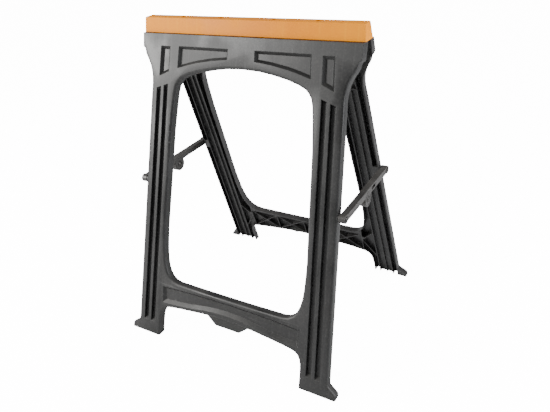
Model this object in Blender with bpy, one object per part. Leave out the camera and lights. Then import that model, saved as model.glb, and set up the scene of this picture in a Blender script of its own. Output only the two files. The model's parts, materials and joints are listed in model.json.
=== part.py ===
"""Folding sawhorse: a hollow top beam, two plastic leg frames hinged on a steel rod inside it,
and a two-link toggle brace on each side that holds the frames apart.

Metres. Origin on the floor under the middle of the beam, +X along the beam, +Z up, -Y the front.
"""
import math

import bmesh
import bpy
import numpy as np

# ---------------------------------------------------------------- driving dimensions
HEIGHT = 0.760              # floor to working surface
LEAN = math.radians(17.636)  # each leg frame from upright, brace open
HINGE_Z = 0.7448            # height of the hinge rod
GAP = 0.0003                # running gap between touching pieces

BEAM_BASE_Z = 0.7269        # lower lip of the beam
BEAM_BASE_X = 0.2774        # half length at the lip
BEAM_TOP_X = 0.2745
BEAM_BASE_Y = 0.0200        # half width at the lip
BEAM_TOP_Y = 0.0140
BEAM_WALL = 0.0028
BEAM_CEILING = 0.0040
BEAM_EDGE = 0.0022          # rounding of the top edges
BEAM_RIBS = (0.0, 0.085, 0.150, 0.1975, 0.250)
RIB = 0.0030
DOG_HOLES_X = (0.067, 0.170)
DOG_HOLE = (0.0140, 0.0130)
SCREW_X = 0.222
PIT_X = 0.262

ROD_R = 0.0030
ROD_HALF = 0.2120
BORE_R = 0.0033
KNUCKLE_R = 0.0078
FRONT_KNUCKLES = ((0.0570, 0.0770), (0.1600, 0.1800))
REAR_KNUCKLES = ((0.0200, 0.0420), (0.0950, 0.1170), (0.1830, 0.1940))

FRAME_DEPTH = 0.0200        # thickness of a leg frame
CROWN_Z = 0.7264            # level top of the frame under the beam's lip, brace open
SKIN = 0.0030
GROOVE = 0.0080             # depth of the leg grooves
PANEL_RECESS = 0.0065       # depth of the other sunk panels
BACK = 0.0155               # depth of a pocket under the full skin
ROUND_STEPS = 3             # facets in the rounding of the outer edges

PIVOT_Y = 0.0100            # brace pivot behind the joint plane
PIVOT_U = 0.3750            # brace pivot down from the hinge axis
BOSS_X = 0.2590             # outer end of the leg's pivot boss
LINK_X0 = 0.2606            # inner side of the brace
LINK_X1 = 0.2750            # outer side of the brace
CHEEK = 0.0042
HUB_R = 0.0097
ELBOW_R = 0.0185
BAR_HALF = 0.0075           # half height of a brace bar
ELBOW_DROP = 0.01595        # elbow pin below the bar's centre line

sin_l = math.sin(LEAN)
cos_l = math.cos(LEAN)
PIVOT_REST_Y = PIVOT_Y * cos_l + PIVOT_U * sin_l
PIVOT_REST_Z = HINGE_Z + PIVOT_Y * sin_l - PIVOT_U * cos_l
ELBOW_Z = PIVOT_REST_Z - ELBOW_DROP

COLOURS = {
    "yellow_plastic": (0.95, 0.50, 0.045),
    "black_plastic": (0.035, 0.036, 0.040),
    "brace_plastic": (0.060, 0.058, 0.056),
    "steel": (0.55, 0.56, 0.58),
    "nylon": (0.62, 0.62, 0.60),
}


# ---------------------------------------------------------------- mesh helpers
def clear_scene():
    for obj in list(bpy.data.objects):
        bpy.data.objects.remove(obj, do_unlink=True)


def loft_rings(bm, rings):
    """Skin a list of equal-length point rings into one closed body."""
    rows = [[bm.verts.new(p) for p in ring] for ring in rings]
    count = len(rows[0])
    for low, high in zip(rows, rows[1:]):
        for i in range(count):
            j = (i + 1) % count
            bm.faces.new((low[i], low[j], high[j], high[i]))
    bm.faces.new(list(reversed(rows[0])))
    bm.faces.new(rows[-1])


def prism_u(bm, outline, depth_a, depth_b):
    """Polygon in (x, u) of a leg frame, extruded through the frame's depth."""
    rings = [[(x, d, -u) for x, u in outline] for d in (depth_a, depth_b)]
    loft_rings(bm, rings)


def prism_x(bm, outline, x_a, x_b):
    """Polygon in (y, z), extruded along X."""
    rings = [[(x, y, z) for y, z in outline] for x in (x_a, x_b)]
    loft_rings(bm, rings)


def offset_ring(points, distances):
    """Move each corner of a closed outline inwards by its own distance, along its mitre."""
    pts = np.array(points, float)
    area = np.sum(pts[:, 0] * np.roll(pts[:, 1], -1) - np.roll(pts[:, 0], -1) * pts[:, 1])
    turn = 1.0 if area > 0 else -1.0
    along = np.roll(pts, -1, axis=0) - pts
    along /= np.linalg.norm(along, axis=1)[:, None]
    normal = turn * np.stack((-along[:, 1], along[:, 0]), axis=1)
    before = np.roll(normal, 1, axis=0)
    mitre = (normal + before) / (1.0 + np.sum(normal * before, axis=1))[:, None]
    return pts + np.broadcast_to(distances, len(pts))[:, None] * mitre


def rounded_slab(bm, outline, radii, inner, face):
    """Flat slab whose edges on the outer face are rounded, radius given corner by corner."""
    radii = np.array(radii, float)
    sgn = math.copysign(1.0, face - inner)
    deepest = float(np.max(np.abs(radii)))
    rings = [[(x, inner, -u) for x, u in outline]]
    for k in range(ROUND_STEPS + 1):
        a = 0.5 * math.pi * k / ROUND_STEPS
        ring = offset_ring(outline, radii * (1.0 - math.cos(a)))
        d = face - sgn * deepest * (1.0 - math.sin(a))
        rings.append([(x, d, -u) for x, u in ring])
    loft_rings(bm, rings)


def sunk(bm, rim, floor_ring, face, depth, sgn):
    """Cutter for a recess with sloping walls, carried on 1 mm beyond the face."""
    rim = np.array(rim, float)
    floor_ring = np.array(floor_ring, float)
    beyond = rim + (rim - floor_ring) * (0.001 / depth)
    rings = [[(x, face + sgn * 0.001, -u) for x, u in beyond],
             [(x, face - sgn * depth, -u) for x, u in floor_ring]]
    loft_rings(bm, rings)


def level_cut(bm, level, sgn, far_u):
    """Wedge that trims a leaning frame along the level plane z = level, towards far_u."""
    ends = []
    for d in (-sgn * 0.004, sgn * 0.026):
        ends.append((d, -(HINGE_Z - level + sgn * d * sin_l) / cos_l))
    ring = ends + [(ends[1][0], -far_u), (ends[0][0], -far_u)]
    prism_x(bm, ring, -0.32, 0.32)


def circle(radius, centre=(0.0, 0.0), steps=24, start=0.0):
    angles = start + np.arange(steps) * 2.0 * math.pi / steps
    return [(centre[0] + radius * math.cos(a), centre[1] + radius * math.sin(a)) for a in angles]


def turned(bm, profile, centre, steps=20):
    """Solid of revolution about the X axis: profile is (x, radius), ends closed."""
    rings = []
    for x, radius in profile:
        rings.append([(x, centre[0] + y, centre[1] + z) for y, z in circle(radius, steps=steps)])
    loft_rings(bm, rings)


def mesh_object(name, build, hidden=False):
    bm = bmesh.new()
    build(bm)
    bmesh.ops.recalc_face_normals(bm, faces=bm.faces[:])
    mesh = bpy.data.meshes.new(name)
    bm.to_mesh(mesh)
    bm.free()
    obj = bpy.data.objects.new(name, mesh)
    bpy.context.scene.collection.objects.link(obj)
    if hidden:
        obj.hide_render = True
        obj.display_type = "WIRE"
    return obj


def boolean(obj, other, operation):
    mod = obj.modifiers.new(operation.lower(), "BOOLEAN")
    mod.operation = operation
    mod.solver = "EXACT"
    mod.object = other


def cut(obj, build, label):
    cutter = mesh_object(obj.name + "_" + label, build, hidden=True)
    cutter.parent = obj
    boolean(obj, cutter, "DIFFERENCE")


def add(obj, build, label):
    extra = mesh_object(obj.name + "_" + label, build, hidden=True)
    extra.parent = obj
    boolean(obj, extra, "UNION")


def paint(obj, slot):
    mat = bpy.data.materials.new(obj.name + "_" + slot)
    mat.use_nodes = True
    shader = mat.node_tree.nodes["Principled BSDF"]
    shader.inputs["Base Color"].default_value = (*COLOURS[slot], 1.0)
    shader.inputs["Metallic"].default_value = 1.0 if slot == "steel" else 0.0
    shader.inputs["Roughness"].default_value = 0.35 if slot == "steel" else 0.50
    obj.data.materials.append(mat)


# ---------------------------------------------------------------- top beam
def rounded_rect(half_x, half_y, radius, z, steps=3):
    ring = []
    corners = ((1, 1, 0.0), (-1, 1, 0.5), (-1, -1, 1.0), (1, -1, 1.5))
    for sx, sy, turn in corners:
        for k in range(steps + 1):
            a = math.pi * (turn + 0.5 * k / steps)
            ring.append((sx * (half_x - radius) + radius * math.cos(a),
                         sy * (half_y - radius) + radius * math.sin(a), z))
    return ring


def beam_half(z, base, top):
    t = (z - BEAM_BASE_Z) / (HEIGHT - BEAM_BASE_Z)
    return base + (top - base) * t


def beam_outer(bm):
    straight = HEIGHT - BEAM_EDGE
    rings = []
    for z in (BEAM_BASE_Z, straight):
        rings.append(rounded_rect(beam_half(z, BEAM_BASE_X, BEAM_TOP_X),
                                  beam_half(z, BEAM_BASE_Y, BEAM_TOP_Y), 0.0035, z))
    for a in (0.5, 1.0):
        lift = BEAM_EDGE * math.sin(a * math.pi / 2)
        draw = BEAM_EDGE * (1 - math.cos(a * math.pi / 2))
        z = straight + lift
        rings.append(rounded_rect(beam_half(straight, BEAM_BASE_X, BEAM_TOP_X) - draw,
                                  beam_half(straight, BEAM_BASE_Y, BEAM_TOP_Y) - draw, 0.0030, z))
    loft_rings(bm, rings)


def beam_cavities(bm):
    """One open-bottomed cell between each pair of neighbouring ribs."""
    ribs = sorted({s * x for x in BEAM_RIBS for s in (-1, 1)})
    ceiling = HEIGHT - BEAM_CEILING
    floor = BEAM_BASE_Z - 0.002
    last = len(ribs)
    for i in range(last + 1):
        rings = []
        for z in (floor, ceiling):
            end = beam_half(z, BEAM_BASE_X, BEAM_TOP_X) - BEAM_WALL
            low = -end if i == 0 else ribs[i - 1] + RIB / 2
            high = end if i == last else ribs[i] - RIB / 2
            half_y = beam_half(z, BEAM_BASE_Y, BEAM_TOP_Y) - BEAM_WALL
            rings.append([(low, -half_y, z), (high, -half_y, z), (high, half_y, z), (low, half_y, z)])
        loft_rings(bm, rings)


def screw_pillars(bm):
    for side in (-1, 1):
        for z_pair in ((HINGE_Z - ROD_R + 0.0002, HEIGHT - BEAM_CEILING + 0.001),):
            loft_rings(bm, [[(side * SCREW_X + x, y, z) for x, y in circle(0.0060, steps=20)]
                            for z in z_pair])


def rod_slots(bm):
    """U-shaped slots that let the rod rise into the ribs from below."""
    for rib in BEAM_RIBS[:-1]:
        for side in ((1,) if rib == 0.0 else (-1, 1)):
            arc = [(BORE_R * math.cos(a), HINGE_Z + BORE_R * math.sin(a))
                   for a in np.linspace(0.0, math.pi, 11)]
            outline = arc + [(-BORE_R, BEAM_BASE_Z - 0.002), (BORE_R, BEAM_BASE_Z - 0.002)]
            prism_x(bm, outline, side * rib - 0.0025, side * rib + 0.0025)


def beam_top_holes(bm):
    for side in (-1, 1):
        for x0 in DOG_HOLES_X:
            ring = rounded_rect(DOG_HOLE[0] / 2, DOG_HOLE[1] / 2, 0.0025, 0.0)
            loft_rings(bm, [[(side * x0 + x, y, z) for x, y, _ in ring]
                            for z in (HEIGHT - BEAM_CEILING - 0.001, HEIGHT + 0.001)])
        steps = ((HINGE_Z - 0.006, 0.0018), (HEIGHT - 0.0060, 0.0018),
                 (HEIGHT - 0.0060 + 0.00001, 0.0042), (HEIGHT + 0.001, 0.0042))
        loft_rings(bm, [[(side * SCREW_X + x, y, z) for x, y in circle(r, steps=20)]
                        for z, r in steps])
        loft_rings(bm, [[(side * PIT_X + x, y, z) for x, y in circle(0.0032, steps=16)]
                        for z in (HEIGHT - 0.0009, HEIGHT + 0.001)])


def make_beam():
    beam = mesh_object("top_beam", beam_outer)
    cut(beam, beam_cavities, "cavities")
    add(beam, screw_pillars, "pillars")
    cut(beam, rod_slots, "rod_slots")
    cut(beam, beam_top_holes, "top_holes")
    paint(beam, "yellow_plastic")


def make_rod_and_keepers():
    rod = mesh_object("hinge_rod", lambda bm: turned(
        bm, ((-ROD_HALF, ROD_R - 0.0006), (-ROD_HALF + 0.0008, ROD_R),
             (ROD_HALF - 0.0008, ROD_R), (ROD_HALF, ROD_R - 0.0006)), (0.0, HINGE_Z)))
    paint(rod, "steel")
    for side, word in ((-1, "left"), (1, "right")):
        x_pair = sorted((side * 0.2003, side * 0.2330))
        z_low, z_high = 0.7325, HINGE_Z - ROD_R - GAP

        def keeper_body(bm):
            loft_rings(bm, [rounded_rect(0.0163, 0.0085, 0.002, z) for z in (z_low, z_high)])
            for v in bm.verts:
                v.co.x += (x_pair[0] + x_pair[1]) / 2

        def keeper_hole(bm):
            loft_rings(bm, [[(side * SCREW_X + x, y, z) for x, y in circle(0.0018, steps=20)]
                            for z in (z_low - 0.001, z_high + 0.001)])

        keeper = mesh_object("rod_keeper_" + word, keeper_body)
        cut(keeper, keeper_hole, "hole")
        paint(keeper, "nylon")

        def screw_body(bm):
            steps = ((z_low - 0.0010, 0.0008), (z_low + 0.0010, 0.0015), (HEIGHT - 0.0057, 0.0015),
                     (HEIGHT - 0.0056, 0.0038), (HEIGHT - 0.0042, 0.0038), (HEIGHT - 0.0034, 0.0029),
                     (HEIGHT - 0.0031, 0.0012))
            loft_rings(bm, [[(side * SCREW_X + x, y, z) for x, y in circle(r, steps=20)]
                            for z, r in steps])

        def cross_recess(bm):
            for half_x, half_y in ((0.0020, 0.0004), (0.0004, 0.0020)):
                prism = [(-half_x, -half_y), (half_x, -half_y), (half_x, half_y), (-half_x, half_y)]
                if half_x > half_y:
                    loft_rings(bm, [[(side * SCREW_X + x, y, z) for x, y in prism]
                                    for z in (HEIGHT - 0.0044, HEIGHT)])

        screw = mesh_object("keeper_screw_" + word, screw_body)
        cut(screw, cross_recess, "slot")
        paint(screw, "steel")


# ---------------------------------------------------------------- leg frame outlines
def leg_inner(u):
    return 0.1745 + 0.0465 * u


def leg_outer(u):
    return 0.2422 + 0.0435 * u


def groove_inner(u):
    return 0.1928 + 0.03815 * u


def groove_outer(u):
    return 0.2252 + 0.04286 * u


def groove_mid(u):
    return (groove_inner(u) + groove_outer(u)) / 2


# (x, u, rounding radius of the outer edge) from the middle outwards
OUTER_HALF = [
    (0.0, 0.0120, 0.0), (0.2733, 0.0120, 0.0), (0.2768, 0.0125, 0.001), (0.2768, 0.0545, 0.0015),
    (0.2755, 0.0578, 0.0015), (0.2712, 0.0603, 0.0015), (0.2698, 0.0650, 0.0018),
    (0.2684, 0.0725, 0.0030), (0.2648, 0.0800, 0.0045), (0.2600, 0.0878, 0.0055),
    (0.2558, 0.0960, 0.0057), (0.2522, 0.1055, 0.0057), (0.2495, 0.1165, 0.0057),
    (0.2481, 0.1290, 0.0057), (0.2479, 0.1420, 0.0057), (leg_outer(0.165), 0.165, 0.0057),
    (leg_outer(0.7540), 0.7540, 0.0057), (0.2765, 0.7595, 0.0057), (0.2940, 0.7722, 0.0055),
    (0.2970, 0.7762, 0.0045), (0.2977, 0.7840, 0.0035), (0.2965, 0.8000, 0.0030),
    (0.2050, 0.8000, 0.0050), (0.2045, 0.7520, 0.0055), (0.2030, 0.7300, 0.0055),
    (0.2003, 0.7185, 0.0055), (0.1945, 0.7088, 0.0055), (0.1865, 0.7035, 0.0055),
    (0.1760, 0.7009, 0.0055), (0.1600, 0.6984, 0.0055), (0.1380, 0.6956, 0.0055),
    (0.1030, 0.6918, 0.0055), (0.0720, 0.6885, 0.0055), (0.0360, 0.6862, 0.0055),
    (0.0, 0.6852, 0.0055)]

OPENING_HALF = [
    (0.0, 0.0922), (0.0450, 0.0943), (0.0760, 0.0985), (0.1150, 0.1063), (0.1410, 0.1142),
    (0.1590, 0.1222), (0.1672, 0.1300), (0.1735, 0.1400), (0.1773, 0.1550), (0.1807, 0.1850),
    (0.1833, 0.2150), (leg_inner(0.2450), 0.2450), (leg_inner(0.4900), 0.4900), (0.1972, 0.5200),
    (0.1964, 0.5500), (0.1945, 0.5720), (0.1905, 0.5915), (0.1840, 0.6070), (0.1755, 0.6180),
    (0.1640, 0.6250), (0.1500, 0.6282), (0.0800, 0.6292), (0.0, 0.6295)]
OPENING_ROUND = 0.0064


def closed_outline(half):
    """Mirror a half outline, middle to middle, into the whole closed one."""
    return list(half) + [(-p[0], *p[1:]) for p in reversed(half) if p[0] > 1e-9]


def inset(points, distance):
    """Shrink a convex polygon by moving each side inwards and meeting neighbours again."""
    pts = np.array(points, float)
    area = 0.5 * np.sum(pts[:, 0] * np.roll(pts[:, 1], -1) - np.roll(pts[:, 0], -1) * pts[:, 1])
    if area < 0:
        pts = pts[::-1]
    out = []
    n = len(pts)
    for i in range(n):
        a, b, c = pts[i - 1], pts[i], pts[(i + 1) % n]
        d1 = (b - a) / np.linalg.norm(b - a)
        d2 = (c - b) / np.linalg.norm(c - b)
        n1 = np.array((-d1[1], d1[0]))
        n2 = np.array((-d2[1], d2[0]))
        out.append(tuple(b + distance * (n1 + n2) / (1.0 + n1 @ n2)))
    return out


def low_arch_u(x):
    pts = OUTER_HALF[-9:]
    xs = [p[0] for p in reversed(pts)]
    us = [p[1] for p in reversed(pts)]
    return float(np.interp(abs(x), xs, us))


SLOT = [(0.1933, 0.0526), (0.2208, 0.0523), (0.2247, 0.1213), (0.1960, 0.1090)]
HEADER_PANEL = [(0.0341, 0.0512), (0.1688, 0.0513), (0.1715, 0.1007), (0.1560, 0.0962),
                (0.1360, 0.0906), (0.1150, 0.0857), (0.0760, 0.0788), (0.0346, 0.0744)]
CROSSBAR_TOP = [(0.0, 0.6394), (0.1000, 0.6412), (0.1975, 0.6462)]
CROSSBAR_LOW = [(0.1965, 0.6899), (0.1740, 0.6890), (0.1500, 0.6872), (0.1260, 0.6846),
                (0.1020, 0.6817), (0.0685, 0.6762), (0.0340, 0.6724), (0.0, 0.6712)]


def outer_face_recesses(bm, face, sgn):
    """Sunk panels on the outer face: shoulder slots, header panels, leg grooves, crossbar panel."""
    for side in (-1, 1):
        for rim, slope in ((SLOT, 0.0070), (HEADER_PANEL, 0.0062)):
            ring = [(side * x, u) for x, u in rim]
            sunk(bm, ring, offset_ring(ring, slope), face, PANEL_RECESS, sgn)
        for left, right in ((groove_inner, lambda u: groove_mid(u) - 0.0040),
                            (lambda u: groove_mid(u) + 0.0040, groove_outer)):
            rim, low = [], []
            for edge, sign in ((left, 1), (right, -1)):
                top = 0.1373 + 0.345 * (edge(0.14) - 0.198)
                rim.append(((side * edge(top), top), (side * edge(0.7533), 0.7533)))
                low.append(((side * (edge(top) + sign * 0.0018), top + 0.0050),
                            (side * (edge(0.7533) + sign * 0.0018), 0.7455)))
            sunk(bm, [rim[0][0], rim[1][0], rim[1][1], rim[0][1]],
                 [low[0][0], low[1][0], low[1][1], low[0][1]], face, GROOVE, sgn)
    half = CROSSBAR_TOP + CROSSBAR_LOW
    ring = closed_outline(half)
    slopes = [0.0065] * len(CROSSBAR_TOP) + [0.0085] * len(CROSSBAR_LOW)
    slopes += list(reversed(slopes[1:-1]))
    sunk(bm, ring, offset_ring(ring, slopes), face, PANEL_RECESS, sgn)


def lattice_cells(x0, x1, top, low, bays, wall, cell_inset):
    """Triangular cells of an X lattice between a top and a low curve."""
    cells = []
    xs = np.linspace(x0, x1, bays + 1)
    for a, b in zip(xs, xs[1:]):
        tl, tr = (a, top(a) + wall), (b, top(b) + wall)
        bl, br = (a, low(a) - wall), (b, low(b) - wall)
        # the two diagonals cross here
        d1 = np.subtract(br, tl)
        d2 = np.subtract(bl, tr)
        s = np.cross(np.append(np.subtract(tr, tl), 0), np.append(d2, 0))[2]
        s /= np.cross(np.append(d1, 0), np.append(d2, 0))[2]
        mid = tuple(np.add(tl, d1 * s))
        for tri in ((tl, tr, mid), (tr, br, mid), (br, bl, mid), (bl, tl, mid)):
            cells.append(inset(tri, cell_inset))
    return cells


def inner_pockets(bm, inner, sgn):
    """Hollows moulded from the inner side, leaving the skin, the edge walls and the ribs."""
    open_end = inner - sgn * 0.001

    def pocket(points, depth):
        prism_u(bm, points, open_end, sgn * depth)

    over_groove = FRAME_DEPTH - GROOVE - SKIN
    over_panel = FRAME_DEPTH - PANEL_RECESS - SKIN

    def rib_in(u):
        return groove_inner(u) - 0.0020

    def rib_out(u):
        return groove_outer(u) + 0.0020

    def wall(u):
        return leg_outer(u) - SKIN

    above = PIVOT_U - 0.0125
    below = PIVOT_U + 0.0125
    beside_opening = [
        (0.1720, 0.0540), (0.1902, 0.0540), (0.1925, 0.1330), (rib_in(0.15), 0.15),
        (rib_in(0.6170), 0.6170), (0.1893, 0.6437), (0.1812, 0.6437), (0.1812, 0.6155),
        (0.1863, 0.6092), (0.1934, 0.5930), (0.1975, 0.5730), (0.1994, 0.5500), (0.2002, 0.5200),
        (leg_inner(0.49) + SKIN, 0.49), (leg_inner(0.245) + SKIN, 0.245), (0.1863, 0.2150),
        (0.1837, 0.1850), (0.1803, 0.1560), (0.1763, 0.1395), (0.1725, 0.1325)]
    shoulder = [
        (0.2255, 0.0380), (0.2738, 0.0380), (0.2738, 0.0515), (0.2672, 0.0575), (0.2655, 0.0690),
        (0.2600, 0.0815), (0.2530, 0.0930), (0.2490, 0.1040), (0.2463, 0.1165), (0.2450, 0.1290),
        (0.2448, 0.1420), (wall(0.17), 0.17), (wall(above), above), (rib_out(above), above),
        (rib_out(0.16), 0.16), (0.2320, 0.1350)]
    behind_slot = [
        (0.1945, 0.0545), (0.2215, 0.0545), (0.2262, 0.1180), (groove_outer(0.141), 0.141),
        (groove_inner(0.141), 0.141), (0.1968, 0.1100)]
    lower_leg = [(rib_out(below), below), (wall(below), below), (wall(0.83), 0.83),
                 (rib_out(0.83), 0.83)]
    foot = [
        (0.1809, 0.6580), (rib_in(0.7150), 0.7150), (rib_in(0.83), 0.83), (0.2078, 0.83),
        (0.2075, 0.7520), (0.2060, 0.7300), (0.2032, 0.7170), (0.1965, 0.7065), (0.1875, 0.7004),
        (0.1809, 0.6990)]
    end_bay = inset([(0.1800, 0.6550), (0.2155, 0.6175), (0.2185, 0.7137)], 0.0009)
    half_channels = []
    for edge, sign in ((groove_inner, -1), (groove_outer, 1)):
        half_channels.append([(edge(0.143), 0.143), (edge(0.83), 0.83),
                              (groove_mid(0.83) + sign * 0.001, 0.83),
                              (groove_mid(0.143) + sign * 0.001, 0.143)])
    for side in (-1, 1):
        for points, depth in ((beside_opening, BACK), (shoulder, BACK), (behind_slot, over_groove),
                              (lower_leg, BACK), (foot, over_panel), (end_bay, over_panel),
                              (half_channels[0], over_groove), (half_channels[1], over_groove)):
            pocket([(side * x, u) for x, u in points], depth)
        header = [(0.0370, 0.0530), (0.1660, 0.0530), (0.1680, 0.0975), (0.1410, 0.0900),
                  (0.1150, 0.0840), (0.0760, 0.0773), (0.0375, 0.0730)]
        pocket([(side * x, u) for x, u in header], over_panel)
    for cell in lattice_cells(-0.0310, 0.0310, lambda x: 0.0350, lambda x: 0.0925, 2, SKIN, 0.0009):
        pocket(cell, BACK)
    for cell in lattice_cells(-0.1800, 0.1800, lambda x: 0.6295, low_arch_u, 4, SKIN, 0.0009):
        pocket(cell, over_panel)


def low_ribs(bm, inner, sgn):
    """Second pass of hollows: the middle rib of each leg kept low, and the deep part of the foot."""
    open_end = inner - sgn * 0.001
    for side in (-1, 1):
        over_rib = [(groove_mid(0.144) - 0.0014, 0.144), (groove_mid(0.144) + 0.0014, 0.144),
                    (groove_mid(0.83) + 0.0014, 0.83), (groove_mid(0.83) - 0.0014, 0.83)]
        deep_foot = [(0.2085, 0.7260), (groove_inner(0.726) - 0.0024, 0.7260),
                     (groove_inner(0.83) - 0.0024, 0.83), (0.2085, 0.83)]
        prism_u(bm, [(side * x, u) for x, u in over_rib], open_end, sgn * 0.0040)
        prism_u(bm, [(side * x, u) for x, u in deep_foot], open_end, sgn * BACK)


def knuckle_outline(sgn):
    """Hinge eye with its web: an arc over the rod, tapering down into the shoulder."""
    arc = [(-KNUCKLE_R * math.cos(a), KNUCKLE_R * math.sin(a)) for a in np.linspace(0, math.pi, 15)]
    web = [(0.0060, -0.0060), (-0.0004, -0.0185), (-0.0004, -0.0300), (-KNUCKLE_R, -0.0300)]
    return [(-sgn * y, z) for y, z in arc + web]


def make_leg_frame(name, sgn, knuckles):
    """sgn is -1 for the front frame and +1 for the rear frame (the side it leans to)."""
    inner = sgn * GAP
    face = sgn * FRAME_DEPTH
    rear = sgn > 0
    outline = closed_outline(OUTER_HALF)
    opening = closed_outline(OPENING_HALF)
    plan = [(x, u) for x, u, _ in outline]
    frame = mesh_object(name, lambda bm: rounded_slab(bm, plan, [r for _, _, r in outline], inner, face))

    def window(bm):
        radii = [-OPENING_ROUND] * len(opening)
        beyond = offset_ring(opening, -OPENING_ROUND)
        rings = [[(x, inner - sgn * 0.002, -u) for x, u in opening]]
        for k in range(ROUND_STEPS + 1):
            a = 0.5 * math.pi * k / ROUND_STEPS
            ring = offset_ring(opening, np.array(radii) * (1.0 - math.cos(a)))
            d = face - sgn * OPENING_ROUND * (1.0 - math.sin(a))
            rings.append([(x, d, -u) for x, u in ring])
        rings.append([(x, face + sgn * 0.002, -u) for x, u in beyond])
        loft_rings(bm, rings)

    def additions(bm):
        for x0, x1 in knuckles:
            prism_x(bm, knuckle_outline(sgn), x0, x1)
            prism_x(bm, knuckle_outline(sgn), -x1, -x0)
        for side in (-1, 1):
            ring = circle(0.0088, (sgn * PIVOT_Y, -PIVOT_U), 24)
            prism_x(bm, ring, side * 0.2475, side * BOSS_X)
        if rear:
            lug = [(-0.0400 + 0.0150 * math.cos(a), 0.6800 + 0.0165 * math.sin(a))
                   for a in np.linspace(0, math.pi, 13)]
            prism_u(bm, lug, sgn * 0.0055, sgn * 0.0125)
        else:
            tab = [(-0.0610, 0.6820), (0.0610, 0.6820), (0.0585, 0.6895), (0.0370, 0.7065),
                   (0.0330, 0.7085), (-0.0330, 0.7085), (-0.0370, 0.7065), (-0.0585, 0.6895)]
            prism_u(bm, tab, sgn * 0.0055, sgn * 0.0125)

    def bores(bm):
        eye = circle(BORE_R, (0.0, 0.0), 24)
        for x0, x1 in knuckles:
            prism_x(bm, eye, x0 - 0.001, x1 + 0.001)
            prism_x(bm, eye, -x1 - 0.001, -x0 + 0.001)
        for side in (-1, 1):
            ring = circle(BORE_R, (sgn * PIVOT_Y, -PIVOT_U), 24)
            prism_x(bm, ring, side * 0.2445, side * 0.2600)

    cut(frame, window, "opening")
    cut(frame, lambda bm: level_cut(bm, CROWN_Z, sgn, -0.05), "crown")
    cut(frame, lambda bm: outer_face_recesses(bm, face, sgn), "panels")
    cut(frame, lambda bm: inner_pockets(bm, inner, sgn), "pockets")
    cut(frame, lambda bm: low_ribs(bm, inner, sgn), "low_ribs")
    add(frame, additions, "eyes")
    cut(frame, bores, "bores")
    cut(frame, lambda bm: level_cut(bm, 0.0, sgn, 0.84), "sole")
    frame.location = (0.0, 0.0, HINGE_Z)
    frame.rotation_euler = (sgn * LEAN, 0.0, 0.0)
    paint(frame, "black_plastic")


# ---------------------------------------------------------------- toggle braces
def bar_profile(sgn):
    """Side outline of a link's full-width bar in (y, z) from the elbow pin; sgn is its pivot side."""
    clear = ELBOW_R + 0.0006
    low = ELBOW_DROP - BAR_HALF
    high = ELBOW_DROP + BAR_HALF
    start = math.asin(low / clear)
    stop = math.radians(89.4)
    pts = [(clear * math.cos(a), clear * math.sin(a)) for a in np.linspace(start, stop, 9)]
    pts += [(GAP, high)]
    end = PIVOT_REST_Y
    tilt = math.asin(BAR_HALF / HUB_R)
    pts += [(end + HUB_R * math.cos(a), ELBOW_DROP + HUB_R * math.sin(a))
            for a in np.linspace(math.pi - tilt, tilt - math.pi, 15)]
    return [(sgn * y, z) for y, z in pts]


def eye_profile(sgn):
    """Disc round the elbow pin plus the strap that runs into the bar."""
    angles = np.linspace(math.radians(91.0), math.radians(360.0 + 24.0), 25)
    pts = [(ELBOW_R * math.cos(a), ELBOW_R * math.sin(a)) for a in angles]
    pts += [(0.0300, ELBOW_DROP - BAR_HALF + 0.001), (0.0300, ELBOW_DROP + 0.0020),
            (0.0060, ELBOW_DROP + 0.0020)]
    return [(sgn * y, z) for y, z in pts]


def bored(link, y, z, x_low, x_high, label):
    cut(link, lambda bm: prism_x(bm, circle(BORE_R, (y, z), 24), x_low, x_high), label)


def make_front_link(word, side):
    x0, x1 = sorted((side * LINK_X0, side * LINK_X1))
    t0, t1 = x0 + CHEEK + GAP, x1 - CHEEK - GAP
    link = mesh_object("brace_front_link_" + word, lambda bm: prism_x(bm, bar_profile(-1), x0, x1))
    add(link, lambda bm: prism_x(bm, eye_profile(-1), t0, t1), "eye")
    bored(link, 0.0, 0.0, x0 - 0.001, x1 + 0.001, "elbow_bore")
    bored(link, -PIVOT_REST_Y, ELBOW_DROP, x0 - 0.001, x1 + 0.001, "pivot_bore")
    link.location = (0.0, 0.0, ELBOW_Z)
    paint(link, "brace_plastic")


def make_rear_link(word, side):
    x0, x1 = sorted((side * LINK_X0, side * LINK_X1))
    link = mesh_object("brace_rear_link_" + word, lambda bm: prism_x(bm, bar_profile(1), x0, x1))

    def cheeks(bm):
        prism_x(bm, eye_profile(1), x0, x0 + CHEEK)
        prism_x(bm, eye_profile(1), x1 - CHEEK, x1)

    def window(bm):
        outline = [(0.0215, 0.0115), (0.0430, 0.0115), (0.0430, 0.0205), (0.0215, 0.0205)]
        prism_x(bm, outline, side * (LINK_X1 - 0.0060), side * (LINK_X1 + 0.001))

    add(link, cheeks, "cheeks")
    cut(link, window, "window")
    bored(link, 0.0, 0.0, x0 - 0.001, x1 + 0.001, "elbow_bore")
    bored(link, PIVOT_REST_Y, ELBOW_DROP, x0 - 0.001, x1 + 0.001, "pivot_bore")
    link.location = (0.0, 0.0, ELBOW_Z)
    paint(link, "brace_plastic")


def make_washer(name, centre, x_a, x_b, radius):
    washer = mesh_object(name, lambda bm: turned(bm, ((x_a, radius), (x_b, radius)), centre, 24))
    cut(washer, lambda bm: turned(bm, ((x_a - 0.001, BORE_R), (x_b + 0.001, BORE_R)), centre, 24), "hole")
    paint(washer, "nylon")


def make_pin(name, side, centre, profile):
    pin = mesh_object(name, lambda bm: turned(bm, [(side * x, r) for x, r in profile], centre, 24))
    paint(pin, "steel")


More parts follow.
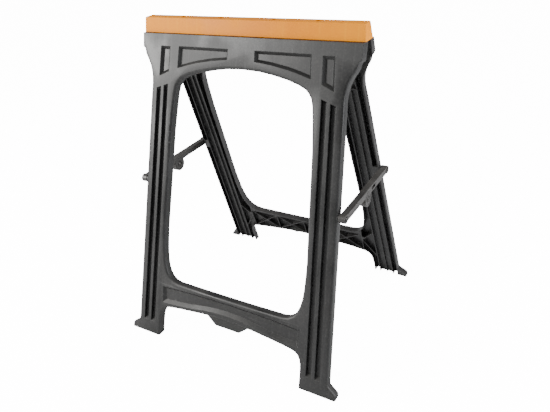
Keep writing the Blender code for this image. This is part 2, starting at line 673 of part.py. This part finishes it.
def make_braces():
    face = LINK_X1 + GAP
    dome = [(face, 0.0058), (face + 0.0009, 0.0058), (face + 0.0018, 0.0048), (face + 0.0024, 0.0028)]
    for side, word in ((-1, "left"), (1, "right")):
        make_front_link(word, side)
        make_rear_link(word, side)
        front = (-PIVOT_REST_Y, PIVOT_REST_Z)
        rear = (PIVOT_REST_Y, PIVOT_REST_Z)
        x_pair = sorted((side * (BOSS_X + GAP), side * (LINK_X0 - GAP)))
        make_washer("front_pivot_washer_" + word, front, x_pair[0], x_pair[1], 0.0078)
        make_washer("rear_pivot_washer_" + word, rear, x_pair[0], x_pair[1], 0.0078)
        shaft = [(0.2449, ROD_R - 0.0006), (0.2455, ROD_R), (face - 0.00001, ROD_R)]
        make_pin("front_pivot_pin_" + word, side, front, shaft + dome)
        stub = [(BOSS_X + 0.0004, ROD_R - 0.0004), (BOSS_X + 0.0008, ROD_R), (face - 0.00001, ROD_R)]
        make_pin("rear_pivot_pin_" + word, side, rear, stub + dome)
        back = LINK_X0 - GAP
        inner_dome = [(back - 0.0024, 0.0028), (back - 0.0018, 0.0048), (back - 0.0009, 0.0058),
                      (back, 0.0058), (back + 0.00001, ROD_R), (face - 0.00001, ROD_R)]
        make_pin("elbow_rivet_" + word, side, (0.0, ELBOW_Z), inner_dome + dome)


clear_scene()
make_beam()
make_rod_and_keepers()
make_leg_frame("front_leg_frame", -1, FRONT_KNUCKLES)
make_leg_frame("rear_leg_frame", 1, REAR_KNUCKLES)
make_braces()
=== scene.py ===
"""Folding sawhorse: finished surfaces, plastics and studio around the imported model.

Metres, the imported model's own frame: +X along the beam, -Y the front, +Z up.
"""
import json
import math

import bmesh
import bpy
import numpy as np
from mathutils import Matrix, Vector


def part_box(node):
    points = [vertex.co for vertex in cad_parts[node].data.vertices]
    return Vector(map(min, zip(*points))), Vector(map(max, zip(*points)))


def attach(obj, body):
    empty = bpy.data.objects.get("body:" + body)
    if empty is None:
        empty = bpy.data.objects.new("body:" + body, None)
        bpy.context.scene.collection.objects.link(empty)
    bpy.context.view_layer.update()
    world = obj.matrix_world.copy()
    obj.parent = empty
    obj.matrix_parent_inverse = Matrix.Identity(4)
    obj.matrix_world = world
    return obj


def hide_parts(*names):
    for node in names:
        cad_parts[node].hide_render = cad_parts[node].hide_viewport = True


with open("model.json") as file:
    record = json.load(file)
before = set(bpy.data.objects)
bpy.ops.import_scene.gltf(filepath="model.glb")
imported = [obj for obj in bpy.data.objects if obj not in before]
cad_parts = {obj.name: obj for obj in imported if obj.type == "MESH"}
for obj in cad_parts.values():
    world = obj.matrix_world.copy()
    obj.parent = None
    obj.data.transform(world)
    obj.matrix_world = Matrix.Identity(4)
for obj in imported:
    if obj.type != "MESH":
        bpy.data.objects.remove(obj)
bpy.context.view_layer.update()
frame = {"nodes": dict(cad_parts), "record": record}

nodes = frame["nodes"]
BODY_OF = {n: body for body, members in frame["record"]["behaviour"]["bodies"].items() for n in members}

# ---------------------------------------------------------------- shared sizes
HINGE_Z = 0.7448                # height of the hinge rod
WEAR_REACH = 0.0012             # how far rubbing reaches from an edge
EDGE_ROUND = 0.0009             # softened edge of the mouldings
RING_STEPS = 48                 # facets round a turned part
WELD = 0.00001                  # corners nearer than this are one corner
POLE_WELD = 0.000002
SMOOTH_MOULDED = math.radians(33.0)
SMOOTH_TURNED = math.radians(38.0)
SHAFT_R = 0.0030                # pins and rivets
BORE_R = 0.0033                 # washers
HEAD_HEIGHT = 0.0024            # domed heads
PIN_TIP = 0.0006                # rounded blind end of a pivot pin
PIN_TIP_R = 0.0029
ROD_TIP = 0.0008
BEAD_FOOT = 0.0006              # how far a bead is let into the face under it
ELBOW_RIM = (0.0172, 0.0030, 0.0009)    # outer radius, width and height of each bead
ELBOW_HUB = (0.0090, 0.0022, 0.0010)
PIVOT_HUB = (0.0092, 0.0022, 0.0008)

# ---------------------------------------------------------------- camera
CAMERA_AT = Vector((0.6707, -1.0233, 0.9899))
CAMERA_TURN = 0.5679
CAMERA_DOWN = 0.5084
CAMERA_ROLL = -0.0954
LENS = 36.24153                 # on a 36 mm sensor
SENSOR = 36.0
SHIFT = (0.0066909, -0.0073091)


def add_camera():
    turn, down, roll = CAMERA_TURN, CAMERA_DOWN, CAMERA_ROLL
    ahead = Vector((-math.sin(turn) * math.cos(down), math.cos(turn) * math.cos(down), -math.sin(down)))
    right = Vector((math.cos(turn), math.sin(turn), 0.0))
    above = right.cross(ahead)
    right_rolled = right * math.cos(roll) + above * math.sin(roll)
    above_rolled = above * math.cos(roll) - right * math.sin(roll)
    data = bpy.data.cameras.new("studio_camera")
    data.lens = LENS
    data.sensor_width = SENSOR
    data.shift_x, data.shift_y = SHIFT
    cam = bpy.data.objects.new("studio_camera", data)
    bpy.context.scene.collection.objects.link(cam)
    basis = Matrix((right_rolled, above_rolled, -ahead)).transposed().to_4x4()
    cam.matrix_world = Matrix.Translation(CAMERA_AT) @ basis
    bpy.context.scene.camera = cam


# ---------------------------------------------------------------- shader node groups
def open_group(name, inputs, outputs):
    """A shader node group with named number inputs and typed outputs."""
    group = bpy.data.node_groups.new(name, "ShaderNodeTree")
    for label, value in inputs:
        socket = group.interface.new_socket(label, in_out="INPUT", socket_type="NodeSocketFloat")
        socket.default_value = value
    for label, kind in outputs:
        group.interface.new_socket(label, in_out="OUTPUT", socket_type=kind)
    start = group.nodes.new("NodeGroupInput")
    end = group.nodes.new("NodeGroupOutput")
    return group, start, end


def place_noise(group, scale, detail, stretch=None):
    """Noise on the piece's own coordinates, drawn out along an axis where asked."""
    coords = group.nodes.new("ShaderNodeTexCoord")
    noise = group.nodes.new("ShaderNodeTexNoise")
    noise.inputs["Scale"].default_value = scale
    noise.inputs["Detail"].default_value = detail
    source = coords.outputs["Object"]
    if stretch:
        mapping = group.nodes.new("ShaderNodeMapping")
        mapping.inputs["Scale"].default_value = stretch
        group.links.new(source, mapping.inputs["Vector"])
        source = mapping.outputs["Vector"]
    group.links.new(source, noise.inputs["Vector"])
    return noise


def place_range(group, value, low, high, to_low=0.0, to_high=1.0):
    """Map a value from low..high to to_low..to_high with soft ends."""
    node = group.nodes.new("ShaderNodeMapRange")
    node.interpolation_type = "SMOOTHSTEP"
    node.inputs["From Min"].default_value = low
    node.inputs["From Max"].default_value = high
    node.inputs["To Min"].default_value = to_low
    node.inputs["To Max"].default_value = to_high
    group.links.new(value, node.inputs["Value"])
    return node.outputs["Result"]


def place_math(group, operation, first, second=0.5):
    """One arithmetic step; a number or a socket on either side."""
    node = group.nodes.new("ShaderNodeMath")
    node.operation = operation
    for index, value in enumerate((first, second)):
        if isinstance(value, (int, float)):
            node.inputs[index].default_value = value
        else:
            group.links.new(value, node.inputs[index])
    return node.outputs["Value"]


def build_moulding_grain():
    """Spark-eroded mould texture: fine pebble, plus a broad slow waviness from cooling."""
    group, start, end = open_group("moulding_grain", (("Fine", 1.0), ("Wave", 1.0)),
                                   (("Height", "NodeSocketFloat"), ("Gloss", "NodeSocketFloat")))
    pebble = place_noise(group, 950.0, 2.0)
    wave = place_noise(group, 22.0, 3.0)
    fine = place_math(group, "MULTIPLY", pebble.outputs["Fac"], start.outputs["Fine"])
    slow = place_math(group, "MULTIPLY", wave.outputs["Fac"], start.outputs["Wave"])
    group.links.new(place_math(group, "ADD", fine, slow), end.inputs["Height"])
    cloud = place_noise(group, 9.0, 5.0)
    group.links.new(place_range(group, cloud.outputs["Fac"], 0.35, 0.65), end.inputs["Gloss"])
    return group


def build_handling_wear():
    """Rubbed edges and short scuffs: a mask that is 1 where the surface is worn pale."""
    group, start, end = open_group("handling_wear", (("Edges", 1.0), ("Scuffs", 1.0)),
                                   (("Mask", "NodeSocketFloat"),))
    shape = group.nodes.new("ShaderNodeNewGeometry")
    rounded = group.nodes.new("ShaderNodeBevel")
    rounded.samples = 6
    rounded.inputs["Radius"].default_value = WEAR_REACH
    turn = group.nodes.new("ShaderNodeVectorMath")
    turn.operation = "DOT_PRODUCT"
    group.links.new(rounded.outputs["Normal"], turn.inputs[0])
    group.links.new(shape.outputs["Normal"], turn.inputs[1])
    rim = place_range(group, turn.outputs["Value"], 0.90, 0.995, 1.0, 0.0)
    patch = place_noise(group, 60.0, 6.0)
    broken = place_range(group, patch.outputs["Fac"], 0.38, 0.66)
    rim = place_math(group, "MULTIPLY", rim, broken)
    rim = place_math(group, "MULTIPLY", rim, start.outputs["Edges"])
    streak_a = place_noise(group, 140.0, 3.0, (1.0, 1.0, 0.06))
    streak_b = place_noise(group, 140.0, 3.0, (0.06, 1.0, 1.0))
    marks = place_math(group, "MAXIMUM", streak_a.outputs["Fac"], streak_b.outputs["Fac"])
    marks = place_range(group, marks, 0.66, 0.74)
    where = place_range(group, place_noise(group, 7.0, 2.0).outputs["Fac"], 0.50, 0.62)
    marks = place_math(group, "MULTIPLY", marks, where)
    marks = place_math(group, "MULTIPLY", marks, start.outputs["Scuffs"])
    group.links.new(place_math(group, "MAXIMUM", rim, marks), end.inputs["Mask"])
    return group


def build_sink_lines():
    """Faint upright sink marks where ribs meet the skin, one every Spacing metres along X."""
    group, start, end = open_group("sink_lines", (("Spacing", 0.028), ("Width", 0.10)),
                                   (("Mask", "NodeSocketFloat"),))
    coords = group.nodes.new("ShaderNodeTexCoord")
    parts = group.nodes.new("ShaderNodeSeparateXYZ")
    group.links.new(coords.outputs["Object"], parts.inputs["Vector"])
    turns = place_math(group, "DIVIDE", parts.outputs["X"], start.outputs["Spacing"])
    phase = place_math(group, "FRACT", turns, 0.0)
    off = place_math(group, "ABSOLUTE", place_math(group, "SUBTRACT", phase, 0.5), 0.0)
    near = place_math(group, "DIVIDE", off, start.outputs["Width"])
    line = place_range(group, near, 0.0, 1.0, 1.0, 0.0)
    uneven = place_range(group, place_noise(group, 18.0, 2.0).outputs["Fac"], 0.35, 0.65)
    group.links.new(place_math(group, "MULTIPLY", line, uneven), end.inputs["Mask"])
    return group


def build_dust():
    """Workshop dust: thicker on upward faces and broken up by noise."""
    group, start, end = open_group("dust", (("Amount", 0.3),), (("Mask", "NodeSocketFloat"),))
    shape = group.nodes.new("ShaderNodeNewGeometry")
    parts = group.nodes.new("ShaderNodeSeparateXYZ")
    group.links.new(shape.outputs["Normal"], parts.inputs["Vector"])
    upward = place_range(group, parts.outputs["Z"], 0.15, 0.95)
    fleck = place_range(group, place_noise(group, 240.0, 6.0).outputs["Fac"], 0.45, 0.75)
    cloud = place_range(group, place_noise(group, 14.0, 4.0).outputs["Fac"], 0.30, 0.75)
    mask = place_math(group, "MULTIPLY", upward, cloud)
    mask = place_math(group, "ADD", place_math(group, "MULTIPLY", mask, 0.7),
                      place_math(group, "MULTIPLY", fleck, 0.3))
    mask = place_math(group, "MULTIPLY", mask, start.outputs["Amount"])
    group.links.new(mask, end.inputs["Mask"])
    return group


GRAIN = build_moulding_grain()
WEAR = build_handling_wear()
SINK = build_sink_lines()
DUST = build_dust()


def use_group(tree, group, **values):
    node = tree.nodes.new("ShaderNodeGroup")
    node.node_tree = group
    for label, value in values.items():
        node.inputs[label].default_value = value
    return node


def mix_colour(tree, factor, first, second):
    """Blend two colours; each is a colour tuple or a socket."""
    node = tree.nodes.new("ShaderNodeMix")
    node.data_type = "RGBA"
    if isinstance(factor, (int, float)):
        node.inputs["Factor"].default_value = factor
    else:
        tree.links.new(factor, node.inputs["Factor"])
    for label, value in (("A", first), ("B", second)):
        socket = [s for s in node.inputs if s.name == label and s.type == "RGBA"][0]
        if isinstance(value, tuple):
            socket.default_value = (*value, 1.0)
        else:
            tree.links.new(value, socket)
    return [s for s in node.outputs if s.type == "RGBA"][0]


def start_material(name):
    mat = bpy.data.materials.new(name)
    mat.use_nodes = True
    return mat, mat.node_tree, mat.node_tree.nodes["Principled BSDF"]


def add_bump(tree, shader, height, strength, distance, edge=EDGE_ROUND):
    rounded = tree.nodes.new("ShaderNodeBevel")
    rounded.samples = 6
    rounded.inputs["Radius"].default_value = edge
    bump = tree.nodes.new("ShaderNodeBump")
    tree.links.new(rounded.outputs["Normal"], bump.inputs["Normal"])
    bump.inputs["Strength"].default_value = strength
    bump.inputs["Distance"].default_value = distance
    tree.links.new(height, bump.inputs["Height"])
    tree.links.new(bump.outputs["Normal"], shader.inputs["Normal"])


def moulded_plastic(name, deep, light, worn, gloss, wear, scuffs, dust, fine,
                    lines=0.0, spacing=0.028, specular=0.5):
    """Moulded plastic: clouded colour, pale rubbed edges, sink lines, dust and a pebbled sheen."""
    mat, tree, shader = start_material(name)
    shader.inputs["Specular IOR Level"].default_value = specular
    grain = use_group(tree, GRAIN, Fine=fine, Wave=2.2)
    worn_mask = use_group(tree, WEAR, Edges=wear, Scuffs=scuffs)
    sink = use_group(tree, SINK, Spacing=spacing, Width=0.12)
    powder = use_group(tree, DUST, Amount=dust)
    colour = mix_colour(tree, grain.outputs["Gloss"], deep, light)
    faint = place_math(tree, "MULTIPLY", sink.outputs["Mask"], lines)
    colour = mix_colour(tree, faint, colour, worn)
    colour = mix_colour(tree, worn_mask.outputs["Mask"], colour, worn)
    colour = mix_colour(tree, powder.outputs["Mask"], colour, (0.42, 0.40, 0.37))
    tree.links.new(colour, shader.inputs["Base Color"])
    rough = place_range(tree, grain.outputs["Gloss"], 0.0, 1.0, gloss[0], gloss[1])
    for mask, extra in ((worn_mask, 0.18), (powder, 0.35)):
        rough = place_math(tree, "ADD", rough, place_math(tree, "MULTIPLY", mask.outputs["Mask"], extra))
    tree.links.new(rough, shader.inputs["Roughness"])
    height = place_math(tree, "SUBTRACT", grain.outputs["Height"],
                        place_math(tree, "MULTIPLY", faint, 1.6))
    add_bump(tree, shader, height, 0.35, 0.00035)
    return mat


def plated_steel(name, bright, dull, gloss):
    """Plated steel: turning marks round the part, cloudy plating and small dark specks."""
    mat, tree, shader = start_material(name)
    shader.inputs["Metallic"].default_value = 1.0
    rings = place_noise(tree, 900.0, 2.0, (1.0, 0.05, 0.05))
    cloud = place_noise(tree, 90.0, 5.0)
    speck = place_range(tree, place_noise(tree, 700.0, 3.0).outputs["Fac"], 0.62, 0.70)
    tone = place_range(tree, cloud.outputs["Fac"], 0.35, 0.65)
    colour = mix_colour(tree, tone, bright, dull)
    colour = mix_colour(tree, place_math(tree, "MULTIPLY", speck, 0.6), colour, (0.05, 0.045, 0.04))
    tree.links.new(colour, shader.inputs["Base Color"])
    rough = place_range(tree, cloud.outputs["Fac"], 0.3, 0.7, gloss[0], gloss[1])
    tree.links.new(rough, shader.inputs["Roughness"])
    add_bump(tree, shader, rings.outputs["Fac"], 0.25, 0.0001)
    return mat


FRAME_BLACK = moulded_plastic(
    "frame_black", deep=(0.0045, 0.0045, 0.0048), light=(0.0095, 0.0095, 0.0100),
    worn=(0.095, 0.095, 0.097), gloss=(0.36, 0.50), wear=0.75, scuffs=0.35, dust=0.10, fine=0.35,
    lines=0.10, spacing=0.0225)
BEAM_YELLOW = moulded_plastic(
    "beam_yellow", deep=(0.78, 0.240, 0.000), light=(0.86, 0.290, 0.000), worn=(0.95, 0.42, 0.01),
    gloss=(0.44, 0.56), wear=0.50, scuffs=0.12, dust=0.02, fine=0.30, lines=0.20, spacing=0.0275,
    specular=0.15)
BRACE_GREY = moulded_plastic(
    "brace_grey", deep=(0.020, 0.019, 0.018), light=(0.034, 0.032, 0.030), worn=(0.16, 0.155, 0.15),
    gloss=(0.34, 0.50), wear=0.9, scuffs=0.4, dust=0.12, fine=0.45)
KEEPER_NYLON = moulded_plastic(
    "keeper_nylon", deep=(0.50, 0.49, 0.46), light=(0.62, 0.61, 0.58), worn=(0.75, 0.74, 0.71),
    gloss=(0.30, 0.42), wear=0.4, scuffs=0.1, dust=0.05, fine=0.3)
# Nylon washers: their grey is darker than the nylon's own pale colour, as painted shade for where they sit
# between leg and link.
WASHER_NYLON_PAINTED_SHADE = moulded_plastic(
    "washer_nylon_painted_shade", deep=(0.16, 0.155, 0.15), light=(0.24, 0.235, 0.225), worn=(0.40, 0.39, 0.37),
    gloss=(0.34, 0.46), wear=0.4, scuffs=0.1, dust=0.05, fine=0.3)
ZINC = plated_steel("zinc_plate", (0.62, 0.63, 0.65), (0.46, 0.47, 0.49), (0.20, 0.38))
DARK_PLATE = plated_steel("dark_plate", (0.085, 0.083, 0.080), (0.045, 0.044, 0.043), (0.28, 0.46))


# ---------------------------------------------------------------- piece builders
def give_piece(mesh, name, material, body, node=None):
    """Put a finished mesh in the scene at the origin, riding on its body."""
    obj = bpy.data.objects.new(name, mesh)
    bpy.context.scene.collection.objects.link(obj)
    mesh.materials.clear()
    mesh.materials.append(material)
    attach(obj, body)
    if node:
        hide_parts(node)
    return obj


def smooth_copy(node, name, material):
    """The moulded shape of a node with its loose triangles joined and its rounds shaded smooth."""
    bm = bmesh.new()
    bm.from_mesh(nodes[node].data)
    bmesh.ops.remove_doubles(bm, verts=bm.verts[:], dist=WELD)
    joined = [v.co[:] for v in bm.verts]
    bm.verts.index_update()
    faces = [[v.index for v in f.verts] for f in bm.faces]
    bm.free()
    mesh = bpy.data.meshes.new(name)
    mesh.from_pydata(joined, [], faces)
    mesh.shade_smooth()
    mesh.set_sharp_from_angle(angle=SMOOTH_MOULDED)
    return give_piece(mesh, name, material, BODY_OF[node], node)


def lathe_mesh(name, profile, centre):
    """Turned part about X: the point at (s, t) is the centre plus radius(s) * (cos t, sin t), at x(s).

    An end ring of radius zero closes into one shared pole.
    """
    profile = np.array(profile, float)
    angles = np.arange(RING_STEPS) * 2.0 * math.pi / RING_STEPS
    x = np.repeat(profile[:, 0:1], RING_STEPS, axis=1)
    y = centre[0] + profile[:, 1:2] * np.cos(angles)[None, :]
    z = centre[1] + profile[:, 1:2] * np.sin(angles)[None, :]
    return grid_mesh(name, np.stack((x, y, z), axis=2))


def ring_mesh(name, profile, centre):
    """Ring about X: the section's own first point is repeated last, so that the sweep closes on itself."""
    profile = np.array(profile, float)
    profile = np.vstack((profile, profile[:1]))
    return lathe_mesh(name, profile, centre)


def grid_mesh(name, points):
    """Skin a grid of points that closes round its second index, welding repeated points."""
    rows, cols = points.shape[:2]
    index = np.arange(rows * cols).reshape(rows, cols)
    after = np.roll(index, -1, axis=1)
    quads = np.stack((index[:-1], after[:-1], after[1:], index[1:]), axis=2).reshape(-1, 4)
    mesh = bpy.data.meshes.new(name)
    mesh.from_pydata(points.reshape(-1, 3).tolist(), [], quads.tolist())
    bm = bmesh.new()
    bm.from_mesh(mesh)
    bmesh.ops.remove_doubles(bm, verts=bm.verts[:], dist=POLE_WELD)
    bmesh.ops.recalc_face_normals(bm, faces=bm.faces[:])
    bm.to_mesh(mesh)
    bm.free()
    mesh.shade_smooth()
    mesh.set_sharp_from_angle(angle=SMOOTH_TURNED)
    return mesh


def node_box(node):
    """A node's lowest and highest corner, and the (y, z) line through its middle along X."""
    low, high = (np.array(corner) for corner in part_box(node))
    return low, high, ((low[1] + high[1]) / 2, (low[2] + high[2]) / 2)


def dome(x, radius, height, side, steps=9):
    """Quarter-ellipse end: x moves out by height * sin a while the radius shrinks as cos a."""
    a = np.linspace(0.0, math.pi / 2, steps)
    return np.stack((x + side * height * np.sin(a), radius * np.cos(a)), axis=1)


def domed_pin(node, side, material, double):
    """Shaft with a smooth domed head outside, and one inside too where the pin is a rivet."""
    low, high, centre = node_box(node)
    outer = high[0] if side > 0 else low[0]
    inner = low[0] if side > 0 else high[0]
    radius = (high[2] - low[2]) / 2
    under_head = outer - side * HEAD_HEIGHT
    head = dome(under_head, radius, HEAD_HEIGHT, side)
    neck = np.array(((under_head, SHAFT_R),))
    if double:
        over_tail = inner + side * HEAD_HEIGHT
        back = dome(over_tail, radius, HEAD_HEIGHT, -side)[::-1]
        tail = np.vstack((back, np.array(((over_tail, SHAFT_R),))))
    else:
        tail = dome(inner + side * PIN_TIP, PIN_TIP_R, PIN_TIP, -side, 4)[::-1]
    mesh = lathe_mesh(node + "_turned", np.vstack((tail, neck, head)), centre)
    return give_piece(mesh, node + "_turned", material, BODY_OF[node], node)


def round_washer(node, material):
    """Flat ring with rounded rims: a stadium section swept round the pin."""
    low, high, centre = node_box(node)
    outer = (high[2] - low[2]) / 2
    mid = (low[0] + high[0]) / 2
    half = (high[0] - low[0]) / 2
    a = np.linspace(-math.pi / 2, math.pi / 2, 7)
    rim = np.stack((mid + half * np.sin(a), outer - half + half * np.cos(a)), axis=1)
    bore = np.stack((mid - half * np.sin(a), BORE_R + half - half * np.cos(a)), axis=1)
    mesh = ring_mesh(node + "_ring", np.vstack((rim, bore)), centre)
    return give_piece(mesh, node + "_ring", material, BODY_OF[node], node)


def raised_rim(name, x_face, side, centre, bead, material, body):
    """Half-round bead about X on a face: bead is its outer radius, width and height."""
    radius, width, proud = bead
    a = np.linspace(0.0, math.pi, 9)
    across = radius - width / 2 + width / 2 * np.cos(a)
    crown = np.stack((x_face + side * proud * np.sin(a), across), axis=1)
    under = x_face - side * BEAD_FOOT
    foot = np.array(((under, radius - width), (under, radius)))
    mesh = ring_mesh(name, np.vstack((crown, foot)), centre)
    return give_piece(mesh, name, material, body)


# ---------------------------------------------------------------- the sawhorse
def dress_frames_and_beam():
    for node in ("front_leg_frame", "rear_leg_frame"):
        smooth_copy(node, node + "_moulded", FRAME_BLACK)
    smooth_copy("top_beam", "top_beam_moulded", BEAM_YELLOW)


def dress_elbow(word, side, outer, inner):
    """Rim and hub beads on both sides of the rear link's disc."""
    elbow = node_box("elbow_rivet_" + word)[2]
    body = BODY_OF["brace_rear_link_" + word]
    for label, x_face, out in (("outer", outer, side), ("inner", inner, -side)):
        raised_rim("elbow_rim_%s_%s" % (label, word), x_face, out, elbow, ELBOW_RIM, BRACE_GREY, body)
        raised_rim("elbow_hub_%s_%s" % (label, word), x_face, out, elbow, ELBOW_HUB, BRACE_GREY, body)


def dress_braces():
    for side, word in ((-1, "left"), (1, "right")):
        for end in ("front", "rear"):
            node = "brace_%s_link_%s" % (end, word)
            smooth_copy(node, node + "_moulded", BRACE_GREY)
            domed_pin("%s_pivot_pin_%s" % (end, word), side, DARK_PLATE, False)
            round_washer("%s_pivot_washer_%s" % (end, word), WASHER_NYLON_PAINTED_SHADE)
        domed_pin("elbow_rivet_" + word, side, DARK_PLATE, True)
        low, high, _ = node_box("brace_rear_link_" + word)
        outer, inner = (high[0], low[0]) if side > 0 else (low[0], high[0])
        dress_elbow(word, side, outer, inner)
        for end in ("front", "rear"):
            pivot = node_box("%s_pivot_washer_%s" % (end, word))[2]
            raised_rim("pivot_hub_%s_%s" % (end, word), outer, side, pivot, PIVOT_HUB, BRACE_GREY,
                       BODY_OF["brace_%s_link_%s" % (end, word)])


def dress_small_parts():
    low, high, _ = node_box("hinge_rod")
    radius = (high[2] - low[2]) / 2
    left_tip = dome(low[0] + ROD_TIP, radius, ROD_TIP, -1, 5)[::-1]
    right_tip = dome(high[0] - ROD_TIP, radius, ROD_TIP, 1, 5)
    mesh = lathe_mesh("hinge_rod_turned", np.vstack((left_tip, right_tip)), (0.0, HINGE_Z))
    give_piece(mesh, "hinge_rod_turned", ZINC, BODY_OF["hinge_rod"], "hinge_rod")
    for word in ("left", "right"):
        smooth_copy("rod_keeper_" + word, "rod_keeper_%s_moulded" % word, KEEPER_NYLON)
        smooth_copy("keeper_screw_" + word, "keeper_screw_%s_turned" % word, ZINC)


# ---------------------------------------------------------------- studio
FLOOR_HALF = 30
FLOOR_LIFT = 14.0
BACKDROP_LIFT = 20.0
AMBIENT = 0.50


def add_area(name, place, aim, size, power, colour):
    data = bpy.data.lights.new(name, "AREA")
    data.shape = "RECTANGLE"
    data.size, data.size_y = size
    data.energy = power
    data.color = colour
    lamp = bpy.data.objects.new(name, data)
    bpy.context.scene.collection.objects.link(lamp)
    lamp.location = place
    lamp.rotation_mode = "QUATERNION"
    lamp.rotation_quaternion = (Vector(aim) - Vector(place)).to_track_quat("-Z", "Y")


def add_floor():
    """Plain pale floor, lifted to near white where the camera sees it directly."""
    mesh = bpy.data.meshes.new("studio_floor")
    half = FLOOR_HALF
    corners = [(-half, -half, 0), (half, -half, 0), (half, half, 0), (-half, half, 0)]
    mesh.from_pydata(corners, [], [(0, 1, 2, 3)])
    floor = bpy.data.objects.new("studio_floor", mesh)
    bpy.context.scene.collection.objects.link(floor)
    mat, tree, shader = start_material("studio_floor")
    shader.inputs["Base Color"].default_value = (0.95, 0.95, 0.95, 1.0)
    shader.inputs["Roughness"].default_value = 0.9
    shader.inputs["Specular IOR Level"].default_value = 0.1
    shader.inputs["Emission Color"].default_value = (1.0, 1.0, 1.0, 1.0)
    seen = tree.nodes.new("ShaderNodeLightPath")
    lift = place_math(tree, "MULTIPLY", seen.outputs["Is Camera Ray"], FLOOR_LIFT)
    tree.links.new(lift, shader.inputs["Emission Strength"])
    mesh.materials.append(mat)


def add_surroundings():
    """Even white surroundings, brighter behind the object than the light that they give it."""
    world = bpy.data.worlds.new("studio")
    world.use_nodes = True
    tree = world.node_tree
    seen = tree.nodes.new("ShaderNodeLightPath")
    level = place_math(tree, "MULTIPLY", seen.outputs["Is Camera Ray"], BACKDROP_LIFT)
    level = place_math(tree, "ADD", level, AMBIENT)
    back = tree.nodes["Background"]
    back.inputs["Color"].default_value = (1.0, 1.0, 1.0, 1.0)
    tree.links.new(level, back.inputs["Strength"])
    bpy.context.scene.world = world


def add_lamps():
    add_area("key", (-2.1, -1.9, 1.55), (0, 0, 0.5), (1.3, 1.5), 130.0, (1.0, 0.99, 0.97))
    add_area("side", (2.2, 0.2, 1.3), (0, 0, 0.4), (1.0, 1.6), 60.0, (0.97, 0.98, 1.0))


dress_frames_and_beam()
dress_braces()
dress_small_parts()
add_camera()
add_floor()
add_surroundings()
add_lamps()
